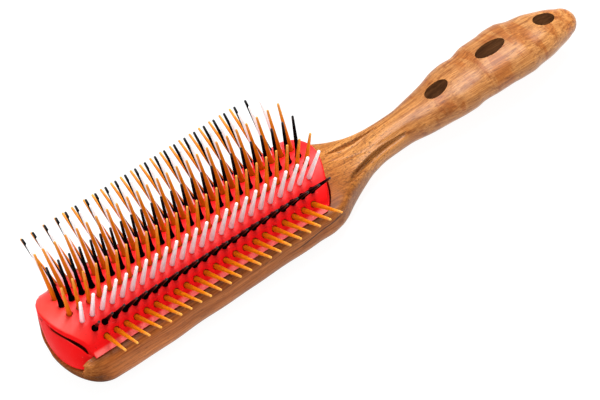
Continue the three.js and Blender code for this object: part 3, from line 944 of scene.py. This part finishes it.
    # growth lines: level lines of a stretched field
    field = noise(nt, coords(nt, (5.0, 55, 75), offset=(0.3, 0.1, 0.7), source=bent), 1.0, 2.0, 0.45)
    lines = math_node(nt, "PINGPONG", math_node(nt, "MULTIPLY", field.outputs["Fac"], 17.0), 1.0)
    line_col = ramp(nt, lines, [(0.0, (0.70, 0.58, 0.46)), (0.22, (0.94, 0.92, 0.90)), (0.6, grey(1.04)), (1.0, grey(0.98))])
    col = mix(nt, 0.55, col, mix(nt, 1.0, col, line_col, "MULTIPLY"))

    fibre = noise(nt, coords(nt, (60, 2500, 2500), source=bent), 1.0, 3.0, 0.6)
    col = mix(nt, 1.0, col, ramp(nt, fibre.outputs["Fac"], [(0.32, (0.70, 0.60, 0.50)), (0.52, grey(1.0)), (0.70, (1.14, 1.16, 1.18))]), "MULTIPLY")

    pores = noise(nt, coords(nt, (330, 2500, 2500), offset=(1.7, 0.4, 0.2), source=bent), 1.0, 2.0, 0.5)
    pore = ramp(nt, pores.outputs["Fac"], [(0.60, grey(0.0)), (0.67, grey(1.0))])
    col = mix(nt, math_node(nt, "MULTIPLY", pore, 0.6), col, (0.15, 0.050, 0.012))

    # open pores show as short dark specks where the neck's top is cut across the grain
    speck = noise(nt, coords(nt, (1100, 1700, 1700), offset=(0.2, 1.4, 0.6), source=src), 1.0, 2.0, 0.5)
    speck_mask = math_node(nt, "MULTIPLY", ramp(nt, speck.outputs["Fac"], [(0.56, grey(0.0)), (0.66, grey(1.0))]),
                           ramp(nt, place, [(0.47, grey(0.1)), (0.50, grey(0.75)), (0.58, grey(0.75)), (0.66, grey(0.2)), (1.0, grey(0.12))]))
    col = mix(nt, speck_mask, col, (0.13, 0.045, 0.010))

    # cross figure on the handle
    cross = noise(nt, coords(nt, (170, 48, 48), (0, 0, 0.25), (2.1, 0.8, 0.3), src), 1.0, 4.0, 0.6, 0.4)
    cross_mask = math_node(nt, "MULTIPLY", ramp(nt, cross.outputs["Fac"], [(0.52, grey(0.0)), (0.59, grey(1.0))]),
                           ramp(nt, place, [(0.58, grey(0.0)), (0.72, grey(0.85)), (1.0, grey(0.85))]))
    col = mix(nt, cross_mask, col, mix(nt, 1.0, col, (0.80, 0.60, 0.38), "MULTIPLY"))
    pale = ramp(nt, cross.outputs["Fac"], [(0.30, grey(1.0)), (0.46, grey(0.0))])
    col = mix(nt, math_node(nt, "MULTIPLY", pale, ramp(nt, place, [(0.52, grey(0.0)), (0.70, grey(0.6)), (1.0, grey(0.6))])), col, mix(nt, 1.0, col, (1.14, 1.34, 1.75), "MULTIPLY"))
    flute_shade = nt.nodes.new("ShaderNodeAttribute")
    flute_shade.attribute_name = "flute_shade"
    edge_highlight = nt.nodes.new("ShaderNodeAttribute")
    edge_highlight.attribute_name = "edge_highlight"
    # painted shade in the flutes: the colour is darkened and blued on their inner walls
    col = mix(nt, math_node(nt, "MULTIPLY", flute_shade.outputs["Fac"], 0.6, True), col, mix(nt, 1.0, col, (0.36, 0.35, 0.52), "MULTIPLY"))
    # painted highlight: the colour is paled and whitened on the flutes' soft edges and the near rail's end
    col = mix(nt, math_node(nt, "MULTIPLY", edge_highlight.outputs["Fac"], 0.9, True), col, mix(nt, 1.0, col, (1.60, 1.70, 1.85), "MULTIPLY"))
    link(nt, col, bsdf.inputs["Base Color"])

    rough = ramp(nt, fibre.outputs["Fac"], [(0.3, grey(0.50)), (0.7, grey(0.40))])
    link(nt, rough, bsdf.inputs["Roughness"])
    link(nt, math_node(nt, "MULTIPLY", math_node(nt, "SUBTRACT", 1.0, math_node(nt, "MULTIPLY", front, 0.9)), 0.08), bsdf.inputs["Specular IOR Level"])
    up = math_node(nt, "MULTIPLY_ADD", sn.outputs["Z"], 0.5)
    up.node.inputs[2].default_value = 0.5
    sheen = math_node(nt, "MULTIPLY", ramp(nt, place, [(0.012, grey(0.05)), (0.06, grey(0.10)), (0.46, grey(0.12)), (0.60, grey(0.25)), (0.72, grey(0.42)), (1.0, grey(0.42))]),
                      ramp(nt, up, [(0.40, grey(2.1)), (0.78, grey(1.0))]))
    dull = math_node(nt, "MULTIPLY", front, ramp(nt, up, [(0.45, grey(1.0)), (0.62, grey(0.0))]))
    sheen = math_node(nt, "MULTIPLY", sheen, math_node(nt, "SUBTRACT", 1.0, dull))
    polish = math_node(nt, "MULTIPLY", edge_highlight.outputs["Fac"], ramp(nt, up, [(0.78, grey(0.0)), (0.93, grey(1.0))]))
    link(nt, math_node(nt, "MAXIMUM", sheen, math_node(nt, "MULTIPLY", polish, 0.8)), bsdf.inputs["Coat Weight"])
    gloss = math_node(nt, "MULTIPLY_ADD", polish, 0.35)
    gloss.node.inputs[2].default_value = 1.5
    link(nt, gloss, bsdf.inputs["Coat IOR"])
    link(nt, ramp(nt, edge_highlight.outputs["Fac"], [(0.0, grey(0.3)), (1.0, grey(0.22))]), bsdf.inputs["Coat Roughness"])
    h = math_node(nt, "SUBTRACT", math_node(nt, "MULTIPLY", fibre.outputs["Fac"], 0.6), pore)
    bump(nt, h, 0.25, 0.00012, bsdf)
    return m


def inlay_material():
    m, nt, bsdf = material("dark_wood")
    src = coords(nt, (1, 1, 1))
    streak = noise(nt, coords(nt, (60, 700, 700), source=src), 1.0, 4.0, 0.6)
    col = ramp(nt, streak.outputs["Fac"], [(0.30, (0.026, 0.009, 0.003)), (0.52, (0.052, 0.019, 0.006)), (0.72, (0.085, 0.034, 0.012))])
    fleck = noise(nt, coords(nt, (420, 2600, 2600), source=src), 1.0, 2.0, 0.5)
    col = mix(nt, 1.0, col, ramp(nt, fleck.outputs["Fac"], [(0.35, grey(0.72)), (0.65, grey(1.15))]), "MULTIPLY")
    link(nt, col, bsdf.inputs["Base Color"])
    link(nt, ramp(nt, fleck.outputs["Fac"], [(0.3, grey(0.50)), (0.7, grey(0.38))]), bsdf.inputs["Roughness"])
    bsdf.inputs["Specular IOR Level"].default_value = 0.015
    bump(nt, fleck.outputs["Fac"], 0.2, 0.0001, bsdf)
    return m


def rubber_material():
    m, nt, bsdf = material("red_rubber")
    src = coords(nt, (1, 1, 1))
    cloud = noise(nt, coords(nt, (70, 70, 70), source=src), 1.0, 4.0, 0.55)
    col = ramp(nt, cloud.outputs["Fac"], [(0.30, (0.92, 0.005, 0.006)), (0.50, (0.96, 0.007, 0.008)), (0.72, (0.98, 0.011, 0.012))])
    dust = noise(nt, coords(nt, (1150, 1150, 1150), source=src), 1.0, 2.0, 0.5)
    speck = ramp(nt, dust.outputs["Fac"], [(0.73, grey(0.0)), (0.76, grey(0.45))])
    col = mix(nt, speck, col, (0.95, 0.35, 0.30))
    place = nt.nodes.new("ShaderNodeSeparateXYZ")
    link(nt, src, place.inputs[0])
    ahead = math_node(nt, "MULTIPLY_ADD", place.outputs["X"], -100.0)
    ahead.node.inputs[2].default_value = -9.95
    outer = math_node(nt, "MULTIPLY_ADD", math_node(nt, "ABSOLUTE", place.outputs["Y"]), 500.0)
    outer.node.inputs[2].default_value = -8.1
    geo = nt.nodes.new("ShaderNodeNewGeometry")
    sep = nt.nodes.new("ShaderNodeSeparateXYZ")
    link(nt, geo.outputs["Normal"], sep.inputs[0])
    upward = ramp(nt, sep.outputs["Z"], [(0.60, grey(0.0)), (0.95, grey(1.0))])
    # painted highlight: upward-facing rubber at the pad's front is painted pinker
    front_highlight = math_node(nt, "MULTIPLY", upward, ramp(nt, ahead, [(0.1, grey(0.0)), (0.8, grey(0.8))]))
    col = mix(nt, front_highlight, col, (0.97, 0.068, 0.048))
    # painted highlight: upward-facing rubber along the pad's flared side edges is painted pale pink
    col = mix(nt, math_node(nt, "MULTIPLY", upward, ramp(nt, outer, [(0.15, grey(0.0)), (0.6, grey(0.95))])), col, (0.97, 0.15, 0.13))
    grit = noise(nt, coords(nt, (1300, 1300, 1300), offset=(0.7, 0.2, 0.9), source=src), 1.0, 2.0, 0.5)
    col = mix(nt, ramp(nt, grit.outputs["Fac"], [(0.745, grey(0.0)), (0.765, grey(0.7))]), col, (0.16, 0.004, 0.005))
    link(nt, col, bsdf.inputs["Base Color"])
    fine = noise(nt, coords(nt, (2600, 2600, 2600), source=src), 1.0, 3.0, 0.6)
    link(nt, ramp(nt, fine.outputs["Fac"], [(0.3, grey(0.50)), (0.7, grey(0.38))]), bsdf.inputs["Roughness"])
    link(nt, ramp(nt, sep.outputs["Z"], [(0.15, grey(0.02)), (0.62, grey(0.07)), (0.90, grey(0.32))]), bsdf.inputs["Specular IOR Level"])
    bsdf.inputs["Subsurface Weight"].default_value = 0.08
    bsdf.inputs["Subsurface Radius"].default_value = (1.0, 0.12, 0.08)
    bsdf.inputs["Subsurface Scale"].default_value = 0.0012
    h = math_node(nt, "ADD", math_node(nt, "MULTIPLY", fine.outputs["Fac"], 0.5), cloud.outputs["Fac"])
    bump(nt, h, 0.18, 0.00012, bsdf)
    return m


def nylon_material(name, stops, rough, subsurface, radius, spec, glow=0.0):
    """Moulded nylon: colour runs from foot to tip, with faint flow marks along the pin."""
    m, nt, bsdf = material(name)
    at = nt.nodes.new("ShaderNodeAttribute")
    at.attribute_name = "along"
    src = coords(nt, (1, 1, 1))
    flow = noise(nt, coords(nt, (900, 900, 160), source=src), 1.0, 3.0, 0.55)
    shift = math_node(nt, "ADD", at.outputs["Fac"], math_node(nt, "MULTIPLY", math_node(nt, "SUBTRACT", flow.outputs["Fac"], 0.5), 0.25))
    col = ramp(nt, shift, stops)
    col = mix(nt, 1.0, col, ramp(nt, flow.outputs["Fac"], [(0.3, grey(0.86)), (0.7, grey(1.1))]), "MULTIPLY")
    link(nt, col, bsdf.inputs["Base Color"])
    fine = noise(nt, coords(nt, (3000, 3000, 3000), source=src), 1.0, 2.0, 0.5)
    link(nt, ramp(nt, fine.outputs["Fac"], [(0.3, grey(rough + 0.06)), (0.7, grey(rough - 0.05))]), bsdf.inputs["Roughness"])
    if isinstance(spec, list):
        link(nt, ramp(nt, at.outputs["Fac"], [(q, grey(v)) for q, v in spec]), bsdf.inputs["Specular IOR Level"])
    else:
        bsdf.inputs["Specular IOR Level"].default_value = spec
    if subsurface:
        bsdf.inputs["Subsurface Weight"].default_value = subsurface
        bsdf.inputs["Subsurface Radius"].default_value = radius
        bsdf.inputs["Subsurface Scale"].default_value = 0.0012
    if glow:
        # a painted glow: the pin's colour is emitted, so the pin glows though it is no lamp
        link(nt, col, bsdf.inputs["Emission Color"])
        bsdf.inputs["Emission Strength"].default_value = glow
    bump(nt, fine.outputs["Fac"], 0.08, 0.00005, bsdf)
    return m


MATS = {
    "amber": nylon_material("amber_nylon", [(0.0, (0.62, 0.125, 0.001)), (0.25, (0.76, 0.175, 0.001)), (0.7, (0.84, 0.240, 0.005)), (1.0, (0.92, 0.39, 0.07))],
                            0.38, 0.2, (1.0, 0.40, 0.05), 0.11),
    # black nylon: the slightly lighter, bluer colour at the tip is a faint painted glint
    "black": nylon_material("black_nylon", [(0.0, (0.002, 0.001, 0.001)), (0.6, (0.003, 0.002, 0.002)), (0.9, (0.004, 0.004, 0.005)), (1.0, (0.010, 0.012, 0.014))],
                            0.20, 0.0, (1, 1, 1), [(0.0, 0.0), (0.4, 0.0), (0.75, 0.006), (0.9, 0.05), (0.97, 0.35)]),
    # white nylon: the pink towards the foot is a painted reflection of the red pad
    "white": nylon_material("white_nylon", [(0.0, (0.90, 0.62, 0.66)), (0.3, (0.93, 0.76, 0.79)), (0.8, (0.97, 0.93, 0.94)), (1.0, (0.99, 0.99, 0.99))],
                            0.36, 0.3, (1.0, 0.75, 0.75), 0.3, 0.16),
}


def dress(ob, mat, body, nodes):
    ob.data.materials.clear()
    ob.data.materials.append(mat)
    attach(ob, body)
    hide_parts(*nodes)


dress(wood, wood_material(), "handle", ["wooden_body"])
dark = inlay_material()
for key, piece in inlays.items():
    dress(piece, dark, "handle", ["inlay_" + key])
dress(pad, rubber_material(), "pad", ["rubber_pad"])
for r, ob in enumerate(row_objects):
    dress(ob, MATS[NYLON[r]], "row_%d" % (r + 1), ["pin_row_%d" % (r + 1)])

# ---------------------------------------------------------------- floor, light, camera
floor_mesh = bpy.data.meshes.new("floor")
s = 3.0
floor_mesh.from_pydata([(-s, -s, 0), (s, -s, 0), (s, s, 0), (-s, s, 0)], [], [(0, 1, 2, 3)])
floor = bpy.data.objects.new("floor", floor_mesh)
floor.location = (0, 0, -0.0002)
bpy.context.scene.collection.objects.link(floor)
fm, fnt, fb = material("pale_floor")
fb.inputs["Base Color"].default_value = (0.14, 0.14, 0.14, 1)
fb.inputs["Roughness"].default_value = 0.9
fb.inputs["Specular IOR Level"].default_value = 0.1
fb.inputs["Emission Color"].default_value = (1, 1, 1, 1)
fb.inputs["Emission Strength"].default_value = 0.93
floor_mesh.materials.append(fm)

world = bpy.data.worlds.new("studio")
bpy.context.scene.world = world
world.use_nodes = True
bg = world.node_tree.nodes["Background"]
bg.inputs["Color"].default_value = (1, 1, 1, 1)
bg.inputs["Strength"].default_value = 0.45


def area(name, location, target, size, power):
    d = bpy.data.lights.new(name, "AREA")
    d.shape = "RECTANGLE"
    d.size, d.size_y = size
    d.energy = power
    o = bpy.data.objects.new(name, d)
    o.location = location
    o.rotation_euler = (Vector(target) - Vector(location)).to_track_quat("-Z", "Y").to_euler()
    bpy.context.scene.collection.objects.link(o)
    return o


area("key", (0.24, 0.12, 0.82), (0, 0, 0.01), (0.5, 0.62), 9.8)
area("front", (-0.55, -0.45, 0.65), (-0.03, 0, 0.01), (0.5, 0.5), 2.0)

cam_data = bpy.data.cameras.new("camera")
cam = bpy.data.objects.new("camera", cam_data)
bpy.context.scene.collection.objects.link(cam)
bpy.context.scene.camera = cam
DIST, AZ, EL, ROLL = 1500.0, math.radians(-26.490), math.radians(45.994), math.radians(-12.696)
TX, TY, FOCAL_PX = -40.131, -9.992, 4444.98
b = np.array([math.sin(AZ) * math.cos(EL), -math.cos(AZ) * math.cos(EL), math.sin(EL)])
r1 = np.cross([0, 0, 1], b)
r1 /= np.linalg.norm(r1)
u1 = np.cross(b, r1)
r2 = math.cos(ROLL) * r1 + math.sin(ROLL) * u1
u2 = -math.sin(ROLL) * r1 + math.cos(ROLL) * u1
loc = -TX * r2 - TY * u2 + DIST * b + np.array([FIELD_X, 0.0, CROWN_Z + LIFT])
cam.matrix_world = Matrix((
    (r2[0], u2[0], b[0], loc[0] * MM),
    (r2[1], u2[1], b[1], loc[1] * MM),
    (r2[2], u2[2], b[2], loc[2] * MM),
    (0, 0, 0, 1)))
cam_data.sensor_fit = "HORIZONTAL"
cam_data.sensor_width = 36.0
cam_data.lens = 36.0 * FOCAL_PX / 600.0
cam_data.clip_start = 0.05
cam_data.clip_end = 50.0

scene = bpy.context.scene
scene.view_settings.view_transform = "Standard"
scene.view_settings.look = "None"
scene.view_settings.exposure = 0.0
scene.view_settings.gamma = 1.0
